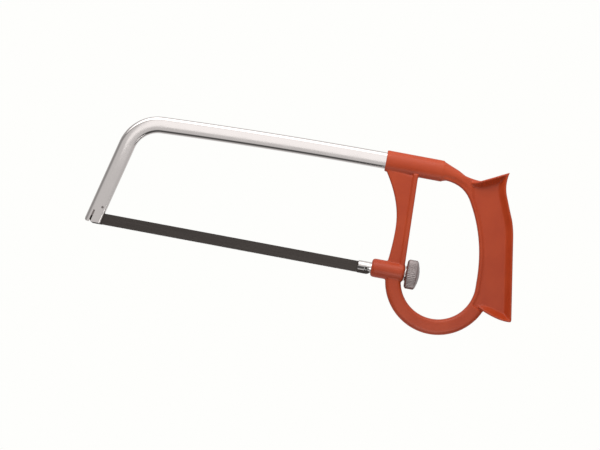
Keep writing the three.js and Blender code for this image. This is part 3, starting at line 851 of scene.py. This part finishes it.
def softbox(name, at, aim, size, power):
    """A rectangular light: two drafting-frame points, size in m, power in W."""
    data = bpy.data.lights.new(name, "AREA")
    data.shape, data.size, data.size_y, data.energy = "RECTANGLE", size[0], size[1], power
    lamp = bpy.data.objects.new(name, data)
    bpy.context.scene.collection.objects.link(lamp)
    away = in_frame(*aim) - in_frame(*at)
    lamp.matrix_world = (
        Matrix.Translation(in_frame(*at)) @ away.to_track_quat("-Z", "Y").to_matrix().to_4x4()
    )
    lamp.visible_camera = False
    return lamp


def make_world():
    """A white studio for the metal to mirror: brightest overhead, light at eye level, dark below
    it, an even grey behind, and dimmer towards the saw's front. The camera sees plain paper."""
    world = bpy.data.worlds.new("studio")
    bpy.context.scene.world = world
    world.use_nodes = True
    tree = world.node_tree
    tree.nodes.clear()
    direction = add(tree, "ShaderNodeTexCoord").outputs["Generated"]
    parts = add(tree, "ShaderNodeSeparateXYZ", None, {"Vector": direction}).outputs
    upward = add(tree, "ShaderNodeMapRange", {"From Min": -1.0}, {"Value": parts["Z"]})
    front = add(tree, "ShaderNodeValToRGB", None, {"Fac": upward.outputs["Result"]})
    levels = (  # upward part of the direction, light level
        (-1.0, 0.26), (-0.9, 0.07), (-0.44, 0.08), (-0.27, 0.50), (0.08, 0.60), (0.24, 0.34),
        (0.5, 0.50), (1.0, 1.1),
    )
    stops = front.color_ramp.elements
    while len(stops) < len(levels):
        stops.new(0.5)
    for stop, (at, level) in zip(stops, levels):
        stop.position = (at + 1) / 2
        stop.color = (level, level, level, 1)
    behind = add(
        tree, "ShaderNodeMapRange", {"From Min": -0.05, "From Max": 0.35}, {"Value": parts["Y"]},
    ).outputs["Result"]
    room = add(
        tree, "ShaderNodeMix", {"data_type": "RGBA", MIX_SECOND: (0.6, 0.6, 0.6, 1)},
        {"Factor": behind, MIX_FIRST: front.outputs["Color"]},
    ).outputs[MIX_COLOUR]
    sides = add(
        tree, "ShaderNodeMapRange", {"From Min": -0.7, "From Max": -0.1, "To Min": 0.72},
        {"Value": parts["X"]},
    ).outputs["Result"]
    lit = add(tree, "ShaderNodeBackground", None, {"Color": room, "Strength": sides})
    paper = add(tree, "ShaderNodeBackground", {"Color": colour("FEFEFC")})
    seen = add(tree, "ShaderNodeLightPath").outputs["Is Camera Ray"]
    blend = add(
        tree, "ShaderNodeMixShader", None,
        {0: seen, 1: lit.outputs["Background"], 2: paper.outputs["Background"]},
    )
    add(tree, "ShaderNodeOutputWorld", None, {"Surface": blend.outputs["Shader"]})


def make_floor():
    """A round light table under the saw. It lights nothing: the floor_bounce light does."""
    bm = bmesh.new()
    bmesh.ops.create_circle(bm, cap_ends=True, segments=96, radius=FLOOR_RADIUS)
    bmesh.ops.translate(bm, verts=bm.verts, vec=in_frame(220, 0, FLOOR_Z))
    floor = as_object("floor", bm)
    material, tree, _ = new_material("white_paper")
    paper = add(
        tree, "ShaderNodeBsdfPrincipled",
        {
            "Base Color": colour("FAF9F7"), "Roughness": 0.9,
            "Emission Color": colour("FFFFFF"), "Emission Strength": 0.26,
        },
    )
    add(tree, "ShaderNodeOutputMaterial", None, {"Surface": paper.outputs["BSDF"]})
    floor.data.materials.append(material)
    floor.visible_glossy = floor.visible_diffuse = False


make_camera()
make_world()
make_floor()
softbox("key", (40, -360, 540), (270, 0, 120), (0.9, 0.6), 2.15)
softbox("bow_reflector", (350, -1500, 317), (350, 0, 317), (0.9, 0.43), 0.56)
sleeve_key = softbox("sleeve_key", (360, -170, 300), (345, 0, 90), (0.12, 0.12), 0.21)
knob_fill = softbox("knob_fill", (395, -250, -220), (395, 0, -220), (0.16, 0.24), 0.25)
floor_bounce = softbox("floor_bounce", (300, -100, -380), (300, -60, 0), (0.9, 0.9), 1.6)
# Reflected, sleeve_key would leave gloss spots on the handle's enamel, and floor_bounce would show
# as bright patches in the plate. knob_fill is for the knob's metal: its diffuse light would lift
# the handle's enamel.
sleeve_key.visible_glossy = floor_bounce.visible_glossy = knob_fill.visible_diffuse = False
bpy.context.scene.view_settings.view_transform = "Standard"
